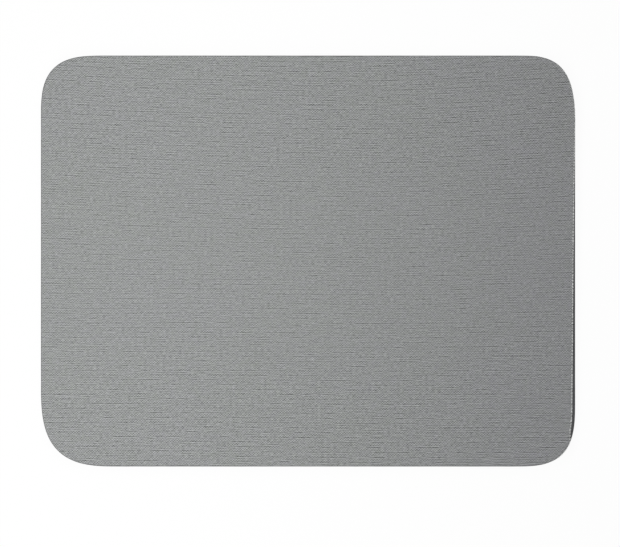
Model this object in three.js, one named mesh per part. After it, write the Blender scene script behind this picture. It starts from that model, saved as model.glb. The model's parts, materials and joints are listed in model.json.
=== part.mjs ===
// Mouse pad: a knitted cloth face, joined by a thin adhesive film to a die-cut foam base.
// Millimetres. +X runs along the long side, +Y towards the rear edge and +Z up.
// The origin lies on the table, under the middle of the pad.
import * as THREE from 'three';

// Outer size, taken at the foot of the foam
const padLength = 260;
const padDepth = 200;

// The three layers, from the table up
const foamThickness = 5;
const filmThickness = 0.2;
const clothThickness = 0.8;

// How far the round of each corner reaches along the long side (X) and the short side (Y)
const rearRightReachX = 27.4;
const rearRightReachY = 36.6;
const rearLeftReachX = 31.2;
const rearLeftReachY = 30.2;
const frontLeftReachX = 38.4;
const frontLeftReachY = 41;
const frontRightReachX = 29.5;
const frontRightReachY = 31.5;

// The corners are superellipses: 2 gives an ellipse, and higher values give a fuller corner
const cornerFullness = 3.1;

// The cut wall: the foot stands past the cloth all round, and the middle draws in
const footFlare = 0.35;
const footRound = 0.4;
const wallHollow = 0.45;

// The film and the top of the foam lie a little behind the edge of the cloth
const filmSetBack = 0.3;

// On the right side the cut leans, so that the foot stands out from under the cloth.
// The lean grows from the rear, stays full near the front and closes again in the front corner.
// A growth below 1 makes it open faster at the rear than further on.
const leanMost = 1.8;
const leanGrowth = 0.6;
const leanStartFromRear = 32;
const leanFullFromFront = 25;
const leanEndFromFront = 10;
const leanClosing = 8;

// Cutting draws the face of the cloth down along its edge
const clothRollWidth = 0.6;
const clothRollDrop = 0.1;

// Facets
const cornerSteps = 24;
const sideSteps = 6;
const wallSteps = 8;
const roundSteps = 4;

// Heights of the faces where the layers meet
const filmBottom = foamThickness;
const clothBottom = filmBottom + filmThickness;
const padTop = clothBottom + clothThickness;

const quarterTurn = Math.PI / 2;

// One point of a corner's round, with the direction that points out of the pad there.
// The angle is 0 where the round leaves the short side, and a quarter turn at the long side.
function cornerPoint(corner, angle) {
  const along = Math.cos(angle);
  const across = Math.sin(angle);
  const power = along ** cornerFullness + across ** cornerFullness;
  const radius = power ** (-1 / cornerFullness);
  const unitX = radius * along;
  const unitY = radius * across;
  const x = padLength / 2 - corner.reachX * (1 - unitX);
  const y = padDepth / 2 - corner.reachY * (1 - unitY);
  const slopeX = unitX ** (cornerFullness - 1) / corner.reachX;
  const slopeY = unitY ** (cornerFullness - 1) / corner.reachY;
  return {
    point: new THREE.Vector2(corner.sideX * x, corner.sideY * y),
    outward: new THREE.Vector2(corner.sideX * slopeX, corner.sideY * slopeY).normalize(),
  };
}

// The outline of the foot, once round the pad against the clock
function padOutline() {
  const corners = [
    { sideX: 1, sideY: 1, reachX: rearRightReachX, reachY: rearRightReachY },
    { sideX: -1, sideY: 1, reachX: rearLeftReachX, reachY: rearLeftReachY },
    { sideX: -1, sideY: -1, reachX: frontLeftReachX, reachY: frontLeftReachY },
    { sideX: 1, sideY: -1, reachX: frontRightReachX, reachY: frontRightReachY },
  ];
  const rounds = corners.map((corner) => {
    const startsAtShortSide = corner.sideX === corner.sideY;
    const round = [];
    for (let step = 0; step <= cornerSteps; step += 1) {
      const share = step / cornerSteps;
      round.push(cornerPoint(corner, quarterTurn * (startsAtShortSide ? share : 1 - share)));
    }
    return round;
  });
  return rounds.flatMap((round, index) => {
    const next = rounds[(index + 1) % rounds.length];
    return [...round, ...sidePoints(round[cornerSteps], next[0])];
  });
}

// Points along the straight side between two corners, without the two ends
function sidePoints(start, end) {
  const points = [];
  for (let step = 1; step < sideSteps; step += 1) {
    points.push({
      point: start.point.clone().lerp(end.point, step / sideSteps),
      outward: start.outward.clone(),
    });
  }
  return points;
}

// How far the leaning cut sets the pad's top back from the foot at a point of the outline
function leanAt(point) {
  if (point.x <= 0) {
    return 0;
  }
  const fromRear = padDepth / 2 - point.y;
  const fromFront = padDepth / 2 + point.y;
  const growingStretch = padDepth - leanStartFromRear - leanFullFromFront;
  const growth = THREE.MathUtils.clamp((fromRear - leanStartFromRear) / growingStretch, 0, 1);
  const closed = leanEndFromFront;
  const open = leanEndFromFront + leanClosing;
  return leanMost * growth ** leanGrowth * THREE.MathUtils.smoothstep(fromFront, closed, open);
}

const outline = padOutline();

// One level line of the pad: the outline drawn in, and set back by the lean's share at that height
function levelLine(height, inset) {
  const leanShare = Math.max(height - footRound, 0) / (padTop - footRound);
  return outline.map(({ point, outward }) => {
    const x = point.x - outward.x * inset - leanAt(point) * leanShare;
    const y = point.y - outward.y * inset;
    return new THREE.Vector3(x, y, height);
  });
}

// A closed solid through level lines that are stacked from the bottom up
function loft(lines) {
  const count = outline.length;
  const bottom = new THREE.Vector3(0, 0, lines[0][0].z);
  const top = new THREE.Vector3(0, 0, lines[lines.length - 1][0].z);
  const points = [...lines.flat(), bottom, top];
  const bottomIndex = points.length - 2;
  const topIndex = points.length - 1;
  const topLine = (lines.length - 1) * count;
  const faces = [];
  for (let index = 0; index < count; index += 1) {
    const next = (index + 1) % count;
    for (let lower = 0; lower < topLine; lower += count) {
      const upper = lower + count;
      faces.push(lower + index, lower + next, upper + next);
      faces.push(lower + index, upper + next, upper + index);
    }
    faces.push(bottomIndex, next, index);
    faces.push(topIndex, topLine + index, topLine + next);
  }
  const geometry = new THREE.BufferGeometry().setFromPoints(points);
  geometry.setIndex(faces);
  geometry.computeVertexNormals();
  return geometry;
}

function namedMesh(name, geometry, material) {
  const mesh = new THREE.Mesh(geometry, new THREE.MeshStandardMaterial(material));
  mesh.name = name;
  return mesh;
}

// Foam base: a soft lower edge, then a hollow wall that leans in to the edge of the film
function foamBase() {
  const lines = [];
  for (let step = 0; step < roundSteps; step += 1) {
    const angle = quarterTurn * (step / roundSteps);
    lines.push(levelLine(footRound * (1 - Math.cos(angle)), footRound * (1 - Math.sin(angle))));
  }
  for (let step = 0; step <= wallSteps; step += 1) {
    const rise = step / wallSteps;
    const height = THREE.MathUtils.lerp(footRound, foamThickness, rise);
    const inset = rise * (footFlare + filmSetBack) + wallHollow * Math.sin(Math.PI * rise);
    lines.push(levelLine(height, inset));
  }
  return namedMesh('foam_base', loft(lines), { color: 0x79797b, roughness: 0.92, metalness: 0 });
}

// Bond film: the adhesive between the foam and the cloth
function bondFilm() {
  const inset = footFlare + filmSetBack;
  const lines = [levelLine(filmBottom, inset), levelLine(clothBottom, inset)];
  return namedMesh('bond_film', loft(lines), { color: 0x2c2d2f, roughness: 0.6, metalness: 0 });
}

// Top cloth: a cut edge, and a face that rolls down to it
function topCloth() {
  const lines = [levelLine(clothBottom, footFlare)];
  for (let step = 0; step <= roundSteps; step += 1) {
    const angle = quarterTurn * (step / roundSteps);
    const height = padTop - clothRollDrop * (1 - Math.sin(angle));
    const inset = footFlare + clothRollWidth * (1 - Math.cos(angle));
    lines.push(levelLine(height, inset));
  }
  return namedMesh('top_cloth', loft(lines), { color: 0x919393, roughness: 0.9, metalness: 0 });
}

const mousePad = new THREE.Group();
mousePad.add(foamBase(), bondFilm(), topCloth());

export default mousePad;
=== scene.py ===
import json
import math

import bmesh
import bpy
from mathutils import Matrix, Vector, noise

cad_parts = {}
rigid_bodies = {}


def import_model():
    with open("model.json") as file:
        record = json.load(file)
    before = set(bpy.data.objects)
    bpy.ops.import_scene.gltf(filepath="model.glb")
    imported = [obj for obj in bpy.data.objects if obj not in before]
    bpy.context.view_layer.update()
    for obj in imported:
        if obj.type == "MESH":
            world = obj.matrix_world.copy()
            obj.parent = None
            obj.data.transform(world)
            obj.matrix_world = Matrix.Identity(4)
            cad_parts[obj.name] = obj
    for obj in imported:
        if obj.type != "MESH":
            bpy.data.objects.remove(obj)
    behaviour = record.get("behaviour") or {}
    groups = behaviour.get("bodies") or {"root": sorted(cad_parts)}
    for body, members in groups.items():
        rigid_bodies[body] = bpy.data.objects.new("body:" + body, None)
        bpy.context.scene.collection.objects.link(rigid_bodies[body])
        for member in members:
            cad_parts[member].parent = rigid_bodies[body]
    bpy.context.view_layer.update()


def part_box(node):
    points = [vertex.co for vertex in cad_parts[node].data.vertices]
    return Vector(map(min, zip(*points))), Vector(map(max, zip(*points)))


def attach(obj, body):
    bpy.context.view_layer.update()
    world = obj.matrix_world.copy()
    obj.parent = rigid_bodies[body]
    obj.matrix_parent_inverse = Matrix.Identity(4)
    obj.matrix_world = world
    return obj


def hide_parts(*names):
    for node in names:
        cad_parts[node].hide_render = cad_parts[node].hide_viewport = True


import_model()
scene = bpy.context.scene
mm = 0.001

# levels of the layers and the outer size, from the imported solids
footLow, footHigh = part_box("foam_base")
clothLow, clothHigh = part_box("top_cloth")
padLength = footHigh.x - footLow.x
padDepth = footHigh.y - footLow.y
foamTop = footHigh.z
clothBottom = clothLow.z
padTop = clothHigh.z
print(f"frame loaded: pad {padLength / mm:.1f} x {padDepth / mm:.1f} x {padTop / mm:.1f} mm")


class Wire:
    # one socket, so that node maths can be written as an expression
    def __init__(self, bench, socket):
        self.bench = bench
        self.socket = socket

    def pick(self, output):
        return Wire(self.bench, self.socket.node.outputs[output])

    def __add__(self, other):
        return self.bench.math("ADD", self, other)

    def __sub__(self, other):
        return self.bench.math("SUBTRACT", self, other)

    def __rsub__(self, other):
        return self.bench.math("SUBTRACT", other, self)

    def __mul__(self, other):
        return self.bench.math("MULTIPLY", self, other)

    def __truediv__(self, other):
        return self.bench.math("DIVIDE", self, other)

    def __pow__(self, other):
        return self.bench.math("POWER", self, other)

    __radd__ = __add__
    __rmul__ = __mul__


class Bench:
    # a node tree while it is being built
    def __init__(self, tree):
        self.tree = tree
        tree.nodes.clear()

    def node(self, kind, settings=None, sockets=None, output=0):
        made = self.tree.nodes.new(kind)
        for name, value in (settings or {}).items():
            setattr(made, name, value)
        for name, value in (sockets or {}).items():
            self.feed(made.inputs[name], value)
        return Wire(self, made.outputs[output]) if made.outputs else made

    def feed(self, target, value):
        if isinstance(value, Wire):
            self.tree.links.new(value.socket, target)
        else:
            target.default_value = value

    def math(self, operation, *values):
        return self.node("ShaderNodeMath", {"operation": operation}, dict(enumerate(values)))

    def clamp(self, value, low=0.0, high=1.0):
        return self.node("ShaderNodeClamp", None, {"Value": value, "Min": low, "Max": high})

    def smooth(self, value, low, high):
        settings = {"interpolation_type": "SMOOTHSTEP"}
        return self.node("ShaderNodeMapRange", settings, {"Value": value, 1: low, 2: high})

    def axes(self, vector):
        return [self.node("ShaderNodeSeparateXYZ", None, {0: vector}).pick(k) for k in range(3)]

    def vector(self, x, y, z=0.0):
        return self.node("ShaderNodeCombineXYZ", None, {0: x, 1: y, 2: z})

    def scale(self, vector, factor):
        return self.node("ShaderNodeVectorMath", {"operation": "SCALE"}, {0: vector, "Scale": factor})

    def noise(self, vector, scale=1.0, detail=0.0):
        sockets = {"Vector": vector, "Scale": scale, "Detail": detail}
        return self.node("ShaderNodeTexNoise", None, sockets)

    def uneven(self, x, y, layer, detail=0.0):
        # noise about zero, with a gain that gives it a spread of about one
        gain = 8.0
        return (self.noise(self.vector(x, y, layer), 1.0, detail) - 0.5) * gain

    def whiteNoise(self, value):
        return self.node("ShaderNodeTexWhiteNoise", {"noise_dimensions": "1D"}, {"W": value})

    def mixColour(self, share, first, second):
        settings = {"data_type": "RGBA", "clamp_factor": True}
        return self.node("ShaderNodeMix", settings, {0: share, 6: first, 7: second}, output=2)

    def bump(self, relief, height):
        # relief: strength, and depth in millimetres
        strength, depth = relief
        sockets = {"Strength": strength, "Distance": depth * mm, "Height": height}
        return self.node("ShaderNodeBump", None, sockets)

    def move(self, geometry, offset):
        return self.node("GeometryNodeSetPosition", None, {0: geometry, "Offset": offset})

    def chance(self, low, high, seed):
        sockets = {0: low, 1: high, "Seed": seed}
        return self.node("FunctionNodeRandomValue", {"data_type": "FLOAT_VECTOR"}, sockets)


def newFinish(name):
    material = bpy.data.materials.new(name)
    material.use_nodes = True
    return material, Bench(material.node_tree)


def closeFinish(bench, sockets):
    shader = bench.node("ShaderNodeBsdfPrincipled", None, sockets)
    bench.node("ShaderNodeOutputMaterial", None, {"Surface": shader})


def millimetres(bench):
    return bench.scale(bench.node("ShaderNodeTexCoord", output="Object"), 1 / mm)


def opaque(colour, factor=1.0):
    return (*(part * factor for part in colour), 1.0)


# the cut line of the pad: the solids' own values, in millimetres
cutLine = {
    "fullness": 3.1,  # of the corners: 2 is an ellipse, more is squarer
    "reach": {  # of each corner along X and along Y, by the signs of its place
        (1, 1): (27.4, 36.6),
        (-1, 1): (31.2, 30.2),
        (-1, -1): (38.4, 41.0),
        (1, -1): (29.5, 31.5),
    },
    "footFlare": 0.35,  # foot of the foam past the cloth
    "footRound": 0.4,
    "wallHollow": 0.45,
    "filmSetBack": 0.3,
    "leanMost": 1.8,  # the cut leans on the right side
    "leanGrowth": 0.6,
    "leanStartFromRear": 32.0,
    "leanFullFromFront": 25.0,
    "leanEndFromFront": 10.0,
    "leanClosing": 8.0,
}


def smoothStep(value, low, high):
    share = min(max((value - low) / (high - low), 0.0), 1.0)
    return share * share * (3 - 2 * share)


def leanAt(x, y):
    if x <= 0:
        return 0.0
    fromRear = (padDepth / 2 - y) / mm
    fromFront = (padDepth / 2 + y) / mm
    stretch = padDepth / mm - cutLine["leanStartFromRear"] - cutLine["leanFullFromFront"]
    growth = min(max((fromRear - cutLine["leanStartFromRear"]) / stretch, 0.0), 1.0)
    growth **= cutLine["leanGrowth"]
    closed = cutLine["leanEndFromFront"]
    opened = closed + cutLine["leanClosing"]
    return cutLine["leanMost"] * growth * smoothStep(fromFront, closed, opened) * mm


def cornerPoint(signs, angle):
    # a point of a corner's round and the direction out of the pad there
    full = cutLine["fullness"]
    reachX, reachY = (reach * mm for reach in cutLine["reach"][signs])
    along = max(math.cos(angle), 0.0)
    across = max(math.sin(angle), 0.0)
    radius = (along**full + across**full) ** (-1 / full)
    x = padLength / 2 - reachX * (1 - radius * along)
    y = padDepth / 2 - reachY * (1 - radius * across)
    outX = (radius * along) ** (full - 1) / reachX
    outY = (radius * across) ** (full - 1) / reachY
    point = Vector((signs[0] * x, signs[1] * y))
    outward = Vector((signs[0] * outX, signs[1] * outY)).normalized()
    return point, outward


def padOutline(cornerSteps, sideSteps):
    # points and outward directions, once round against the clock
    rounds = []
    for signs in cutLine["reach"]:
        shares = [step / cornerSteps for step in range(cornerSteps + 1)]
        if signs[0] != signs[1]:
            shares.reverse()
        rounds.append([cornerPoint(signs, share * math.pi / 2) for share in shares])
    outline = []
    for index, corner in enumerate(rounds):
        nextStart = rounds[(index + 1) % len(rounds)][0]
        outline += corner
        for step in range(1, sideSteps):
            point = corner[-1][0].lerp(nextStart[0], step / sideSteps)
            outline.append((point, corner[-1][1].copy()))
    return outline


def wallStart():
    # height of the wall's lower end, above the nubs and the round of the foot
    return (grip["height"] + cutLine["footRound"]) * mm


def leanShare(height):
    # the lean starts with the wall and is full at the pad's top
    return max(height - wallStart(), 0.0) / (padTop - wallStart())


def levelLine(outline, height, inset):
    line = []
    share = leanShare(height)
    for point, outward in outline:
        moved = point - outward * inset
        line.append(Vector((moved.x - leanAt(*point) * share, moved.y, height)))
    return line


def rowEnd(y, side, inset):
    # where a row of the cloth meets the cut on the left (-1) or right (1) side
    full = cutLine["fullness"]
    reachX, reachY = cutLine["reach"][(side, 1 if y > 0 else -1)]
    reachX = reachX * mm - inset
    reachY = reachY * mm - inset
    into = (abs(y) - (padDepth / 2 - inset - reachY)) / reachY
    into = min(max(into, 0.0), 1.0)
    return side * (padLength / 2 - inset - reachX * (1 - (1 - into**full) ** (1 / full)))


def newPiece(name, points, faces=()):
    mesh = bpy.data.meshes.new(name)
    mesh.from_pydata(points, [], faces)
    piece = bpy.data.objects.new(name, mesh)
    scene.collection.objects.link(piece)
    return piece


def smoothShade(mesh, sharpFrom=50.0):
    # smooth faces, with a crisp line where they meet at more than this many degrees
    mesh.polygons.foreach_set("use_smooth", [True] * len(mesh.polygons))
    mesh.set_sharp_from_angle(angle=math.radians(sharpFrom))


def loftPiece(name, lines, finish):
    # a closed body through stacked level lines, bottom first
    count = len(lines[0])
    points = [point for line in lines for point in line]
    faces = [tuple(reversed(range(count))), tuple(range(len(points) - count, len(points)))]
    for low in range(0, len(points) - count, count):
        for index in range(count):
            after = (index + 1) % count
            faces.append((low + index, low + after, low + count + after, low + count + index))
    piece = newPiece(name, points, faces)
    piece.data.materials.append(finish)
    smoothShade(piece.data)
    return piece


socketKinds = {
    float: "NodeSocketFloat",
    int: "NodeSocketInt",
    bpy.types.Material: "NodeSocketMaterial",
}


def geometryTree(name, values):
    # a Geometry Nodes tree with a named input for each value
    tree = bpy.data.node_groups.new(name, "GeometryNodeTree")
    tree.interface.new_socket("Geometry", in_out="INPUT", socket_type="NodeSocketGeometry")
    for label, value in values.items():
        tree.interface.new_socket(label, in_out="INPUT", socket_type=socketKinds[type(value)])
    tree.interface.new_socket("Geometry", in_out="OUTPUT", socket_type="NodeSocketGeometry")
    bench = Bench(tree)
    start = bench.node("NodeGroupInput")
    return bench, {label: start.pick(label) for label in ("Geometry", *values)}


def closeTree(bench, geometry, material):
    solid = bench.node("GeometryNodeRealizeInstances", None, {0: geometry})
    smoothed = bench.node("GeometryNodeSetShadeSmooth", None, {0: solid})
    coloured = bench.node("GeometryNodeSetMaterial", None, {0: smoothed, "Material": material})
    bench.node("NodeGroupOutput", None, {0: coloured})
    return bench.tree


def runTree(piece, tree, values):
    # the tree's result becomes the piece's own mesh
    modifier = piece.modifiers.new(tree.name, "NODES")
    modifier.node_group = tree
    for item in tree.interface.items_tree:
        if item.in_out == "INPUT" and item.name in values:
            modifier[item.identifier] = values[item.name]
    evaluated = piece.evaluated_get(bpy.context.evaluated_depsgraph_get())
    made = bpy.data.meshes.new_from_object(evaluated)
    piece.modifiers.clear()
    piece.data = made
    made.name = piece.name


# knitted cloth, in millimetres; the ribs run along X
cloth = {
    "ribPitch": 1.18,
    "ribHeight": 0.09,
    "ribUneven": 0.5,  # share of a rib's height that comes and goes
    "ribRound": 2.5,  # power that rounds a rib's back
    "spellLength": 14.0,  # spells of higher and lower rib, along X
    "spellsInRib": 0.9,  # and across
    "rowsInRib": 5,  # rows and columns of the mesh
    "columns": 108,
    "rowClear": 0.1,  # least gap from these rows to the front and rear edges
    "rimRows": (0.02, 0.08, 0.16),  # gaps of the rows that are added there
    "rowEase": 12.0,  # way in from the cut edge over which the rows turn along the ribs
    "rimFlat": 0.4,  # way in over which the ribs set in
    "rollWidth": 0.6,
    "rollDrop": 0.1,
    "sag": 3.0,  # of the ribs at the rear, where they lie furthest forward in the middle
    "sagReach": 120.0,  # distance along X from the middle, at which there is none
    "sagRise": 80.0,  # it grows from this far in front of the middle to as far behind it
    "stitchPitch": 1.289,
    "stitchSlant": 0.35,
    "bandAlong": 21.6,  # the loops stand out in slanting bands, spaced along X and along Y
    "bandAcross": 7.2,
    "bandGrooveShade": 0.7,  # how far the bands darken the painted groove shade
    "dashLength": 5.0,  # stretches of a rib with the same darkness of painted groove shade
    "dashApart": 900.0,  # how far the rows of dashes lie apart in the noise
    "dashSpread": 3.3,
    "dashEase": 0.15,
    "dashEnds": (-1.0, -0.4),  # heights of the groove's wave between which they fade at the ridge
    "loop": 0.545,  # contrast of the painted shade of the loops and of the grooves between the ribs, and of the yarn's own grain
    "grooveShade": 0.082,
    "everyOther": 0.03,
    "grain": 0.08,
    "fuzz": 0.03,
    "patchMost": 1.3,  # limit of the patches with darker painted groove shade
    "darkest": 0.1,  # lowest tone of all
    "rearDeeper": 0.15,  # the pattern stands out more near the rear and front edges
    "frontDeeper": 0.2,
    "deeperFrom": 20.0,
    "deeperTo": 70.0,
    "colour": (0.2813, 0.2886, 0.2871),
    "hueShift": (0.024, 0.0, 0.06),
    "hueMiddle": 0.47,
    "hueSpots": (  # spots to the millimetre, layer and detail of the noise, strength
        (0.022, 3.0, 1.0, 0.045),
        (0.25, 4.0, 0.0, 0.0625),
        (0.9, 6.0, 0.0, 0.094),
    ),
    "coolSide": 0.19,  # how far the colour shifts to the cool hue on the right side
    "coolFrom": 15.0,  # and the stretch of X over which it does
    "coolTo": 125.0,
    "coreColour": (0.52, 0.53, 0.53),  # undyed core that shows where the yarn is cut
    "coreHeights": (0.02, -0.06),  # heights about the rim between which it comes out
    "relief": (0.4, 0.05),  # strength and depth
    "loopRelief": 0.5,
    "grainRelief": 0.08,
    "rough": 0.85,
    "grainRough": 0.02,
    "sheen": 0.03,
    "gloss": 0.1,
    "wavers": {  # slow ones, whose reach is in millimetres, in stitches and in bands
        "ribs": {"along": 140.0, "across": 60.0, "layer": 21.0, "middle": 0.5, "reach": 2.6},
        "loops": {"along": 60.0, "across": 90.0, "layer": 2.0, "middle": 0.0, "reach": 0.8},
        "bands": {"along": 100.0, "across": 40.0, "layer": 12.0, "middle": 0.0, "reach": 2.0},
    },
    "speckles": {  # finer unevenness, in spots to the millimetre
        "patch": {"along": 1 / 6, "across": 1 / 4, "layer": 5.0},
        "grain": {"along": 0.65, "across": 1.7, "layer": 9.0},
        "fuzz": {"along": 1.3, "across": 1.7, "layer": 19.0},
    },
}
rimTop = padTop - cloth["rollDrop"] * mm
turn = 2 * math.pi


def waver(bench, x, y, name):
    own = cloth["wavers"][name]
    spot = bench.vector(x / own["along"], y / own["across"], own["layer"])
    return (bench.noise(spot) - own["middle"]) * own["reach"]


def speckle(bench, x, y, name):
    own = cloth["speckles"][name]
    return bench.uneven(x * own["along"], y * own["across"], own["layer"])


def clothCourse(bench, x, y):
    # the line of the ribs: they sag forward in the middle, most at the rear, and stray a little
    arch = 1.0 - x * x * (1 / cloth["sagReach"] ** 2)
    sag = bench.smooth(y, -cloth["sagRise"], cloth["sagRise"]) * cloth["sag"]
    return y + arch * sag + waver(bench, x, y, "ribs")


def clothLoops(bench, x, y):
    # two lanes of slanting loops on each rib, half a stitch apart
    lanes = y * (2 / cloth["ribPitch"])
    lane = bench.math("FLOOR", lanes)
    across = lanes - lane - 0.5
    odd = bench.math("FLOORED_MODULO", lane, 2.0)
    slant = (1.0 - odd * 2.0) * across * cloth["stitchSlant"]
    along = x / cloth["stitchPitch"] + odd * 0.5 + slant + waver(bench, x, y, "loops")
    loop = bench.math("COSINE", along * turn) * bench.math("COSINE", across * math.pi)
    # bands in which they stand out, each half a stitch off its neighbour
    laneShare = cloth["ribPitch"] / 2 / cloth["bandAcross"]
    place = x / cloth["bandAlong"] - (lane + 0.5) * laneShare + waver(bench, x, y, "bands")
    return loop, bench.math("COSINE", place * turn)


def grooveShadeDashes(bench, x, y):
    # stretches of darker and fainter painted shade in the groove, a new row of them for each rib
    rib = bench.math("ROUND", y / cloth["ribPitch"])
    place = x / cloth["dashLength"] + bench.whiteNoise(rib) * cloth["dashApart"]
    settings = {"voronoi_dimensions": "1D", "feature": "SMOOTH_F1"}
    sockets = {"W": place, "Scale": 1.0, "Smoothness": cloth["dashEase"]}
    cells = bench.node("ShaderNodeTexVoronoi", settings, sockets, output="Color")
    dash = (bench.node("ShaderNodeSeparateColor", None, {0: cells}) - 0.5) * cloth["dashSpread"]
    # the strong ones are drawn out further
    return dash * (bench.math("ABSOLUTE", dash) + 1.0) * 0.5


def clothShadeAndTone(bench, x, y, loop, band, grain):
    # light and dark of the knit, about one: painted shade of the loops and of the grooves between the
    # ribs, with the yarn's own tone
    patch = bench.clamp(speckle(bench, x, y, "patch"), -cloth["patchMost"], cloth["patchMost"])
    # painted shade in the grooves between the ribs, darkest where two ribs meet
    grooveShade = bench.math("COSINE", y * (turn / cloth["ribPitch"]))
    other = bench.math("COSINE", y * (turn / cloth["ribPitch"] / 2))
    rear = bench.smooth(y, cloth["deeperFrom"], cloth["deeperTo"]) * cloth["rearDeeper"]
    front = bench.smooth(y * -1.0, cloth["deeperFrom"], cloth["deeperTo"]) * cloth["frontDeeper"]
    dashes = grooveShadeDashes(bench, x, y) * bench.smooth(grooveShade, *cloth["dashEnds"])
    # painted shade of the loops and grooves, then the yarn's own tone of alternate ribs, grain and fuzz
    pattern = (
        loop * band * cloth["loop"]
        - grooveShade * (patch + dashes + band * cloth["bandGrooveShade"] + 1.0) * cloth["grooveShade"]
        + other * (patch + 1.0) * cloth["everyOther"]
        + grain * cloth["grain"]
        + speckle(bench, x, y, "fuzz") * cloth["fuzz"]
    )
    return bench.math("MAXIMUM", pattern * (rear + front + 1.0) + 1.0, cloth["darkest"])


def hueOf(sign):
    # the dye's warm (-1) or cool (1) end
    return opaque(value + sign * part * value for value, part in zip(cloth["colour"], cloth["hueShift"]))


def clothColour(bench, x, y, z):
    # a dye that wanders between two near hues, and the bare core along the cut
    # the colour shifts to the cool hue toward the right side
    hue = bench.smooth(x, cloth["coolFrom"], cloth["coolTo"]) * cloth["coolSide"] + cloth["hueMiddle"]
    for spots, layer, detail, strength in cloth["hueSpots"]:
        hue = hue + bench.uneven(x * spots, y * spots, layer, detail) * strength
    dyed = bench.mixColour(hue, hueOf(-1), hueOf(1))
    coreTop, coreFull = (rimTop / mm + height for height in cloth["coreHeights"])
    return bench.mixColour(bench.smooth(z, coreTop, coreFull), dyed, opaque(cloth["coreColour"]))


def clothFinish():
    material, bench = newFinish("knittedCloth")
    x, y, z = bench.axes(millimetres(bench))
    course = clothCourse(bench, x, y)
    loop, band = clothLoops(bench, x, course)
    grain = speckle(bench, x, course, "grain")
    tone = clothShadeAndTone(bench, x, course, loop, band, grain)
    height = loop * band * cloth["loopRelief"] + grain * cloth["grainRelief"]
    sockets = {
        "Base Color": bench.scale(clothColour(bench, x, y, z), tone),
        "Roughness": grain * cloth["grainRough"] + cloth["rough"],
        "Normal": bench.bump(cloth["relief"], height),
        "Sheen Weight": cloth["sheen"],
        "Specular IOR Level": cloth["gloss"],
    }
    closeFinish(bench, sockets)
    return material


def ribTree(values):
    bench, inputs = geometryTree("knitRibs", values)
    x, y, _ = bench.axes(bench.node("GeometryNodeInputPosition"))
    # distance to the cut edge, where the mesh has one face only
    faces = bench.node("GeometryNodeInputMeshEdgeNeighbors")
    same = {"data_type": "INT", "operation": "EQUAL"}
    single = bench.node("FunctionNodeCompare", same, {2: faces, 3: 1})
    parts = {0: inputs["Geometry"], 1: single}
    rim = bench.node("GeometryNodeSeparateGeometry", {"domain": "EDGE"}, parts)
    gap = bench.node("GeometryNodeProximity", {"target_element": "EDGES"}, {0: rim}, output="Distance")
    # the face rolls down to it in a quarter of an ellipse
    slope = 1.0 - bench.clamp(gap / inputs["Roll width"])
    level = bench.math("SQRT", bench.math("MAXIMUM", 1.0 - slope * slope, 0.0))
    drop = inputs["Roll drop"] * (1.0 - level)
    # the rows follow the ribs' own line, except along the cut edge
    course = clothCourse(bench, x / mm, y / mm) * mm
    lag = (course - y) * bench.smooth(gap, 0.0, inputs["Row ease"])
    drawn = bench.move(inputs["Geometry"], bench.vector(0.0, lag * -1.0, 0.0))
    # one round back for each rib, with spells of higher and lower ribs
    share = bench.math("FRACT", course / inputs["Rib pitch"])
    away = bench.math("ABSOLUTE", share * 2.0 - 1.0)
    back = 1.0 - away ** cloth["ribRound"]
    spell = bench.vector(x / inputs["Spell length"], y / inputs["Rib pitch"] * cloth["spellsInRib"])
    lift = 1.0 - inputs["Unevenness"] * bench.noise(spell, detail=1.0)
    rise = inputs["Rib height"] * (back * lift - 1.0) * bench.clamp(gap / inputs["Rim flat"])
    shaped = bench.move(drawn, bench.vector(0.0, 0.0, rise - drop))
    return closeTree(bench, shaped, inputs["Cloth"])


def clothRows(inset):
    half = padDepth / 2 - inset
    step = cloth["ribPitch"] * mm / cloth["rowsInRib"]
    count = int((half - cloth["rowClear"] * mm) / step)
    rows = [index * step for index in range(-count, count + 1)]
    for gap in cloth["rimRows"]:
        rows += [half - gap * mm, gap * mm - half]
    return sorted([*rows, -half, half])


def clothSpread():
    # column places from -1 to 1, closer together at the cut edges
    half = cloth["columns"] // 2
    shares = [index / half for index in range(-half, half + 1)]
    return [math.copysign(1 - (1 - abs(share)) ** 2, share) for share in shares]


def closeCloth(mesh):
    # an upright cut edge under the rolled rim, and a flat back
    shape = bmesh.new()
    shape.from_mesh(mesh)
    rim = [edge for edge in shape.edges if edge.is_boundary]
    made = bmesh.ops.extrude_edge_only(shape, edges=rim)["geom"]
    low = [vert for vert in made if isinstance(vert, bmesh.types.BMVert)]
    leanLoss = leanShare(rimTop) - leanShare(clothBottom)
    for vert in low:
        vert.co.x += leanAt(vert.co.x, vert.co.y) * leanLoss
        vert.co.z = clothBottom
    ends = [edge for edge in made if isinstance(edge, bmesh.types.BMEdge)]
    bmesh.ops.contextual_create(shape, geom=ends)
    bmesh.ops.recalc_face_normals(shape, faces=shape.faces)
    shape.to_mesh(mesh)
    shape.free()
    smoothShade(mesh)


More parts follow.
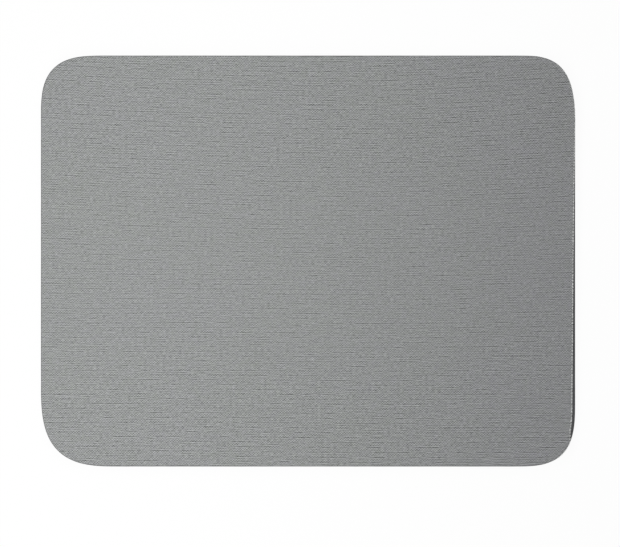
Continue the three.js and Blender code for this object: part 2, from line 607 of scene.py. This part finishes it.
def clothFace(finish):
    inset = cutLine["footFlare"] * mm
    rows = clothRows(inset)
    spread = clothSpread()
    points = []
    for y in rows:
        left = rowEnd(y, -1, inset)
        right = rowEnd(y, 1, inset)
        right -= leanAt(right, y) * leanShare(rimTop)
        points += [((left + right) / 2 + (right - left) / 2 * share, y, padTop) for share in spread]
    wide = len(spread)
    faces = []
    for row in range(len(rows) - 1):
        for column in range(wide - 1):
            first = row * wide + column
            faces.append((first, first + 1, first + wide + 1, first + wide))
    piece = newPiece("clothFace", points, faces)
    values = {
        "Rib pitch": cloth["ribPitch"] * mm,
        "Rib height": cloth["ribHeight"] * mm,
        "Unevenness": cloth["ribUneven"],
        "Spell length": cloth["spellLength"] * mm,
        "Row ease": cloth["rowEase"] * mm,
        "Rim flat": cloth["rimFlat"] * mm,
        "Roll width": cloth["rollWidth"] * mm,
        "Roll drop": cloth["rollDrop"] * mm,
        "Cloth": finish,
    }
    runTree(piece, ribTree(values), values)
    closeCloth(piece.data)
    print(f"cloth face: {len(rows)} rows, {len(piece.data.polygons)} faces")
    return piece


# foam base, in millimetres
foam = {
    "cornerSteps": 40,
    "sideSteps": 60,
    "wallSteps": 14,
    "roundSteps": 5,
    "cutWander": 0.06,  # how far the cut strays
    "wanderSpots": 90.0,  # to the metre
    "wanderFrom": (100.0, 70.0),  # distance from the middle along X and Y, past which it strays
    "colour": (0.19, 0.191, 0.195),
    # painted shade in the hollows of the cut cells
    "cellShadeColour": (0.05, 0.05, 0.053),
    "cellHeights": (0.2, 0.6),  # heights between which the cut cells come in
    "cells": 3.2,  # to the millimetre
    "cellRim": (0.34, 0.12),  # distances from its middle between which a cell deepens, in cells
    # how far that painted shade darkens a cell
    "cellShade": 0.75,
    "fine": 5.0,  # spots to the millimetre of the fine and the broad unevenness
    "broad": 0.25,
    "detail": 2.0,
    "fineTone": 0.35,
    "broadTone": 0.25,
    "relief": (0.5, 0.12),
    "fineRelief": 0.5,
    "rough": 0.88,
    "fineRough": 0.15,
    "gloss": 0.08,
}


def foamFinish():
    material, bench = newFinish("foamRubber")
    place = millimetres(bench)
    height = bench.axes(place)[2]
    sockets = {"Vector": place, "Scale": foam["cells"]}
    cells = bench.node("ShaderNodeTexVoronoi", None, sockets, output="Distance")
    pit = bench.smooth(cells, *foam["cellRim"]) * bench.smooth(height, *foam["cellHeights"])
    fine = bench.noise(place, foam["fine"], foam["detail"]) - 0.5
    broad = bench.noise(place, foam["broad"], foam["detail"]) - 0.5
    # the cut cells' hollows get painted shade
    colour = bench.mixColour(pit * foam["cellShade"], opaque(foam["colour"]), opaque(foam["cellShadeColour"]))
    sockets = {
        "Base Color": bench.scale(colour, fine * foam["fineTone"] + broad * foam["broadTone"] + 1.0),
        "Roughness": fine * foam["fineRough"] + foam["rough"],
        "Normal": bench.bump(foam["relief"], fine * foam["fineRelief"] - pit),
        "Specular IOR Level": foam["gloss"],
    }
    closeFinish(bench, sockets)
    return material


def foamBody(finish):
    outline = padOutline(foam["cornerSteps"], foam["sideSteps"])
    rounding = cutLine["footRound"] * mm
    lines = []
    for step in range(foam["roundSteps"]):
        angle = math.pi / 2 * step / foam["roundSteps"]
        height = grip["height"] * mm + rounding * (1 - math.cos(angle))
        lines.append(levelLine(outline, height, rounding * (1 - math.sin(angle))))
    for step in range(foam["wallSteps"] + 1):
        rise = step / foam["wallSteps"]
        height = wallStart() + (foamTop - wallStart()) * rise
        inset = rise * (cutLine["footFlare"] + cutLine["filmSetBack"])
        inset += cutLine["wallHollow"] * math.sin(math.pi * rise)
        lines.append(levelLine(outline, height, inset * mm))
    # the cut strays inward, except where it meets the foot and the film
    fromX, fromY = (distance * mm for distance in foam["wanderFrom"])
    for line in lines[1:-1]:
        for point in line:
            sway = abs(noise.noise(point * foam["wanderSpots"])) * foam["cutWander"] * mm
            if abs(point.x) > fromX:
                point.x -= math.copysign(sway, point.x)
            if abs(point.y) > fromY:
                point.y -= math.copysign(sway, point.y)
    piece = loftPiece("foamBody", lines, finish)
    print(f"foam body: {len(piece.data.polygons)} faces")
    return piece


# nubs under the foam, in millimetres
grip = {
    "pitch": 3.0,
    "width": 1.9,
    "height": 0.25,
    "depth": 1.2,  # in heights, with the part inside the foam
    "tip": 0.37,  # radius of the lower end, in widths
    "sides": 8,
    "sharpFrom": 40.0,  # degrees
    "edgeGap": 2.2,
    "cornerSteps": 12,  # of the line that bounds the field
    "sideSteps": 4,
    "rayStart": 8.0,  # below the field, in heights
}


def nubTree(values):
    bench, inputs = geometryTree("gripNubs", values)
    pitch = inputs["Pitch"]
    height = inputs["Height"]
    rowPitch = pitch * (math.sqrt(3) / 2)
    across = bench.math("ROUND", inputs["Length"] / pitch)
    deep = bench.math("ROUND", inputs["Depth"] / rowPitch)
    sizes = {0: across * pitch, 1: deep * rowPitch, 2: across + 1.0, 3: deep + 1.0}
    field = bench.node("GeometryNodeMeshGrid", None, sizes)
    # every other row is half a pitch aside
    place = bench.node("GeometryNodeInputPosition")
    row = bench.math("ROUND", bench.axes(place)[1] / rowPitch + 0.25)
    shift = pitch * 0.5 * bench.math("FLOORED_MODULO", row, 2.0)
    staggered = bench.move(field, bench.vector(shift, 0.0, 0.0))
    # a nub only where a ray from below meets the bounded face
    below = bench.vector(0.0, 0.0, height * -grip["rayStart"])
    start = bench.node("ShaderNodeVectorMath", {"operation": "ADD"}, {0: place, 1: below})
    rays = {0: inputs["Geometry"], "Source Position": start}
    rays |= {"Ray Direction": (0.0, 0.0, 1.0), "Ray Length": 1.0}
    onFoam = bench.node("GeometryNodeRaycast", None, rays, output="Is Hit")
    shape = {
        "Vertices": grip["sides"],
        "Radius Top": inputs["Width"] * 0.5,
        "Radius Bottom": inputs["Width"] * grip["tip"],
        "Depth": height * grip["depth"],
    }
    nub = bench.node("GeometryNodeMeshCone", {"fill_type": "NGON"}, shape)
    sockets = {"Points": staggered, "Selection": onFoam, "Instance": nub}
    nubs = bench.node("GeometryNodeInstanceOnPoints", None, sockets)
    return closeTree(bench, nubs, inputs["Foam"])


def gripNubs(finish):
    outline = padOutline(grip["cornerSteps"], grip["sideSteps"])
    ring = levelLine(outline, grip["height"] * mm, grip["edgeGap"] * mm)
    piece = newPiece("gripNubs", ring, [tuple(range(len(ring)))])
    values = {
        "Pitch": grip["pitch"] * mm,
        "Width": grip["width"] * mm,
        "Height": grip["height"] * mm,
        "Length": padLength,
        "Depth": padDepth,
        "Foam": finish,
    }
    runTree(piece, nubTree(values), values)
    smoothShade(piece.data, grip["sharpFrom"])
    print(f"grip nubs: {len(piece.data.polygons)} faces")
    return piece


# adhesive film, in millimetres
film = {
    "squeeze": 0.12,  # how unevenly it comes out to the edge
    "squeezeSpots": 400.0,  # to the metre
    "colour": (0.03, 0.03, 0.032),
    "clouds": 0.8,  # to the millimetre
    "cloudDetail": 2.0,
    "cloudPaler": 3.0,
    "relief": (0.3, 0.05),
    "rough": 0.4,
    "cloudRough": 0.3,
}


def filmFinish():
    material, bench = newFinish("adhesiveFilm")
    cloudy = bench.noise(millimetres(bench), film["clouds"], film["cloudDetail"])
    paler = opaque(film["colour"], film["cloudPaler"])
    sockets = {
        "Base Color": bench.mixColour(cloudy, opaque(film["colour"]), paler),
        "Roughness": cloudy * film["cloudRough"] + film["rough"],
        "Normal": bench.bump(film["relief"], cloudy),
    }
    closeFinish(bench, sockets)
    return material


def bondFilm(finish):
    outline = padOutline(foam["cornerSteps"], foam["sideSteps"])
    inset = (cutLine["footFlare"] + cutLine["filmSetBack"]) * mm
    lines = [levelLine(outline, height, inset) for height in (foamTop, clothBottom)]
    for low, high in zip(*lines):
        uneven = 0.5 + noise.noise(low * film["squeezeSpots"])
        draw = 1 - film["squeeze"] * mm * uneven / low.length
        low.xy *= draw
        high.xy *= draw
    piece = loftPiece("bondFilm", lines, finish)
    print(f"bond film: {len(piece.data.polygons)} faces")
    return piece


# frayed ends of the yarns along the cut edge, in millimetres
yarn = {
    "pitch": 1.48,  # from one end to the next
    "filaments": 40,
    "spread": 0.46,  # to each side of an end's middle
    "lift": 0.2,
    "length": 0.8,
    "root": 0.27,  # how far behind the cut a strand starts, at most
    "rootLeast": 0.6,  # and at least, as a share of that
    "width": 0.16,
    "tip": 0.28,  # radius of the outer end, in widths
    "sides": 5,
    "bend": (0.5, 0.5, 3.0),  # radians to either side, the last about the strand's own line
    "smallest": (0.7, 0.7, 0.7),  # shares of the width, twice, and of the length
    "largest": (1.2, 1.2, 1.15),
    "tuck": 0.2,  # drawn in where the cut stands upright
    "leanClear": 0.5,  # lean from which no end is drawn in
    "slopeMost": 1.5,  # slope of the cut past which there are none, in the corners
    "slopeStep": 0.01,
    "seed": 4,
    "colour": (0.84, 0.85, 0.84),
    "fibres": 6.0,  # to the millimetre
    "fibreDetail": 2.0,
    "tone": 0.85,
    "fibreTone": 0.3,
    "endTone": 0.3,
    "relief": (0.5, 0.03),
    "rough": 0.8,
    "sheen": 0.1,
}


def yarnFinish():
    material, bench = newFinish("cutYarn")
    place = millimetres(bench)
    fibres = bench.noise(place, yarn["fibres"], yarn["fibreDetail"])
    # each end has a tone of its own
    end = bench.math("FLOOR", bench.axes(place)[1] / yarn["pitch"])
    tone = (fibres - 0.5) * yarn["fibreTone"] + yarn["tone"] + bench.whiteNoise(end) * yarn["endTone"]
    sockets = {
        "Base Color": bench.scale(yarn["colour"], tone),
        "Roughness": yarn["rough"],
        "Normal": bench.bump(yarn["relief"], fibres),
        "Sheen Weight": yarn["sheen"],
    }
    closeFinish(bench, sockets)
    return material


def yarnTree(values):
    bench, inputs = geometryTree("cutYarns", values)
    seed = inputs["Seed"]
    copies = {0: inputs["Geometry"], "Amount": inputs["Filaments"]}
    strands = bench.node("GeometryNodeDuplicateElements", {"domain": "POINT"}, copies)
    kept = {"data_type": "FLOAT_VECTOR"}
    outward = bench.node("GeometryNodeInputNamedAttribute", kept, {"Name": "outward"})
    outX, outY, _ = bench.axes(outward)
    # each strand has a place beside the end's middle, above it and behind the cut
    spot = bench.chance((-1.0, -1.0, yarn["rootLeast"]), (1.0, 1.0, 1.0), seed)
    aside, above, behind = bench.axes(spot)
    aside = aside * inputs["Spread"]
    behind = behind * inputs["Root"]
    offsetX = outY * aside * -1.0 - outX * behind
    offsetY = outX * aside - outY * behind
    placed = bench.move(strands, bench.vector(offsetX, offsetY, above * inputs["Lift"]))
    # and points outward with a bend of its own
    facing = bench.node("FunctionNodeAlignRotationToVector", {"axis": "Z"}, {"Vector": outward})
    bent = bench.chance(tuple(-angle for angle in yarn["bend"]), yarn["bend"], seed + 1.0)
    bend = bench.node("FunctionNodeEulerToRotation", None, {0: bent})
    turned = bench.node("FunctionNodeRotateRotation", {"rotation_space": "LOCAL"}, {0: facing, 1: bend})
    shape = {
        "Vertices": yarn["sides"],
        "Radius Bottom": inputs["Width"] * 0.5,
        "Radius Top": inputs["Width"] * yarn["tip"],
        "Depth": inputs["Length"],
    }
    sockets = {
        "Points": placed,
        "Instance": bench.node("GeometryNodeMeshCone", {"fill_type": "NGON"}, shape),
        "Rotation": turned,
        "Scale": bench.chance(yarn["smallest"], yarn["largest"], seed + 2.0),
    }
    return closeTree(bench, bench.node("GeometryNodeInstanceOnPoints", None, sockets), inputs["Yarn"])


def yarnEnds(finish):
    # along the right side, half way up the cut edge of the cloth
    inset = cutLine["footFlare"] * mm
    height = clothBottom + 0.5 * (rimTop - clothBottom)
    half = padDepth / 2 - inset
    pitch = yarn["pitch"] * mm
    step = yarn["slopeStep"] * mm
    places = []
    directions = []
    for index in range(int(-half / pitch), int(half / pitch)):
        y = (index + 0.5) * pitch
        x = rowEnd(y, 1, inset)
        slope = (rowEnd(y + step, 1, inset) - x) / step
        if abs(slope) < yarn["slopeMost"]:
            lean = leanAt(x, y)
            tuck = yarn["tuck"] * mm * (1 - min(lean / (yarn["leanClear"] * mm), 1.0))
            outward = Vector((1, -slope, 0)).normalized()
            places.append(Vector((x - lean * leanShare(height), y, height)) - outward * tuck)
            directions.append(outward)
    piece = newPiece("yarnEnds", places)
    kept = piece.data.attributes.new("outward", "FLOAT_VECTOR", "POINT")
    kept.data.foreach_set("vector", [part for direction in directions for part in direction])
    values = {
        "Filaments": yarn["filaments"],
        "Spread": yarn["spread"] * mm,
        "Lift": yarn["lift"] * mm,
        "Length": yarn["length"] * mm,
        "Root": yarn["root"] * mm,
        "Width": yarn["width"] * mm,
        "Seed": yarn["seed"],
        "Yarn": finish,
    }
    runTree(piece, yarnTree(values), values)
    print(f"yarn ends: {len(places)} ends, {len(piece.data.polygons)} faces")
    return piece


# floor, light and camera, in metres
stageSet = {
    "floorSize": 12.0,
    "floorLevel": -0.00002,  # just clear of the pad
    "floorColour": (0.9, 0.9, 0.9),
    "floorGlow": 0.955,  # share of plain white that the camera sees in the floor
    "white": (1.0, 1.0, 1.0),
    "ambient": 0.2945,
    "lampHeight": 0.383,
    "lampLeft": 0.135,
    "lampFront": 0.099,
    "lampTurn": -8.9,  # degrees
    "lampSize": (0.2, 1.0),
    "lampPower": 2.29,
}


def seenShare(bench):
    # 1 for rays that show the background as such
    rays = bench.node("ShaderNodeLightPath", output="Is Camera Ray")
    shown = bench.math("MAXIMUM", rays, rays.pick("Is Glossy Ray"))
    return bench.math("MAXIMUM", shown, rays.pick("Is Transmission Ray"))


def setFloor():
    material, bench = newFinish("paleFloor")
    plain = bench.node("ShaderNodeBsdfDiffuse", None, {"Color": opaque(stageSet["floorColour"])})
    glow = {"Color": opaque(stageSet["white"]), "Strength": 1.0}
    white = bench.node("ShaderNodeEmission", None, glow)
    share = seenShare(bench) * stageSet["floorGlow"]
    mixed = bench.node("ShaderNodeMixShader", None, {0: share, 1: plain, 2: white})
    bench.node("ShaderNodeOutputMaterial", None, {"Surface": mixed})
    material.cycles.emission_sampling = "NONE"  # it lights nothing
    half = stageSet["floorSize"] / 2
    signs = ((-1, -1), (1, -1), (1, 1), (-1, 1))
    corners = [(x * half, y * half, stageSet["floorLevel"]) for x, y in signs]
    floor = newPiece("floor", corners, [(0, 1, 2, 3)])
    floor.data.materials.append(material)


def setLight():
    world = bpy.data.worlds.new("studio")
    world.use_nodes = True
    scene.world = world
    bench = Bench(world.node_tree)
    ambient = stageSet["ambient"]
    glow = {"Color": opaque(stageSet["white"]), "Strength": seenShare(bench) * (1.0 - ambient) + ambient}
    back = bench.node("ShaderNodeBackground", None, glow)
    bench.node("ShaderNodeOutputWorld", None, {"Surface": back})
    lamp = bpy.data.lights.new("softbox", "AREA")
    lamp.shape = "RECTANGLE"
    lamp.size, lamp.size_y = stageSet["lampSize"]
    lamp.energy = stageSet["lampPower"]
    holder = bpy.data.objects.new("softbox", lamp)
    holder.location = (-stageSet["lampLeft"], -stageSet["lampFront"], stageSet["lampHeight"])
    holder.rotation_euler.z = math.radians(stageSet["lampTurn"])
    holder.visible_camera = False
    scene.collection.objects.link(holder)


view = {
    "frame": (620, 547),  # pixels of the picture
    "padLeft": 40.95,  # edges of the pad in the picture
    "padRight": 575.15,
    "padTop": 55.5,
    "padBottom": 466.6,
    "lens": 1000.0,
    "sensor": 36.0,
    "farthest": 100.0,  # metres
}


def setCamera():
    # straight above, with the pad's outline at the foot of its wall
    perPixel = padLength / (view["padRight"] - view["padLeft"])
    wide, high = view["frame"]
    data = bpy.data.cameras.new("overhead")
    data.lens = view["lens"]
    data.sensor_width = view["sensor"]
    data.clip_end = view["farthest"]
    camera = bpy.data.objects.new("overhead", data)
    x = (wide / 2 - (view["padLeft"] + view["padRight"]) / 2) * perPixel
    y = ((view["padTop"] + view["padBottom"]) / 2 - high / 2) * perPixel
    distance = view["lens"] / view["sensor"] * wide * perPixel
    camera.location = (x, y, wallStart() + distance)
    scene.collection.objects.link(camera)
    scene.camera = camera


setCamera()
setFloor()
setLight()
scene.view_settings.view_transform = "Standard"
print("camera, floor and light set")

foamPiece = foamBody(foamFinish())
nubPiece = gripNubs(foamPiece.data.materials[0])
filmPiece = bondFilm(filmFinish())
clothPiece = clothFace(clothFinish())
yarnPiece = yarnEnds(yarnFinish())

for piece, slot in (
    (foamPiece, "foam"),
    (nubPiece, "foam"),
    (filmPiece, "adhesive"),
    (clothPiece, "cloth"),
    (yarnPiece, "cloth"),
):
    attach(piece, "root")
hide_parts("foam_base")
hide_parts("bond_film")
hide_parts("top_cloth")
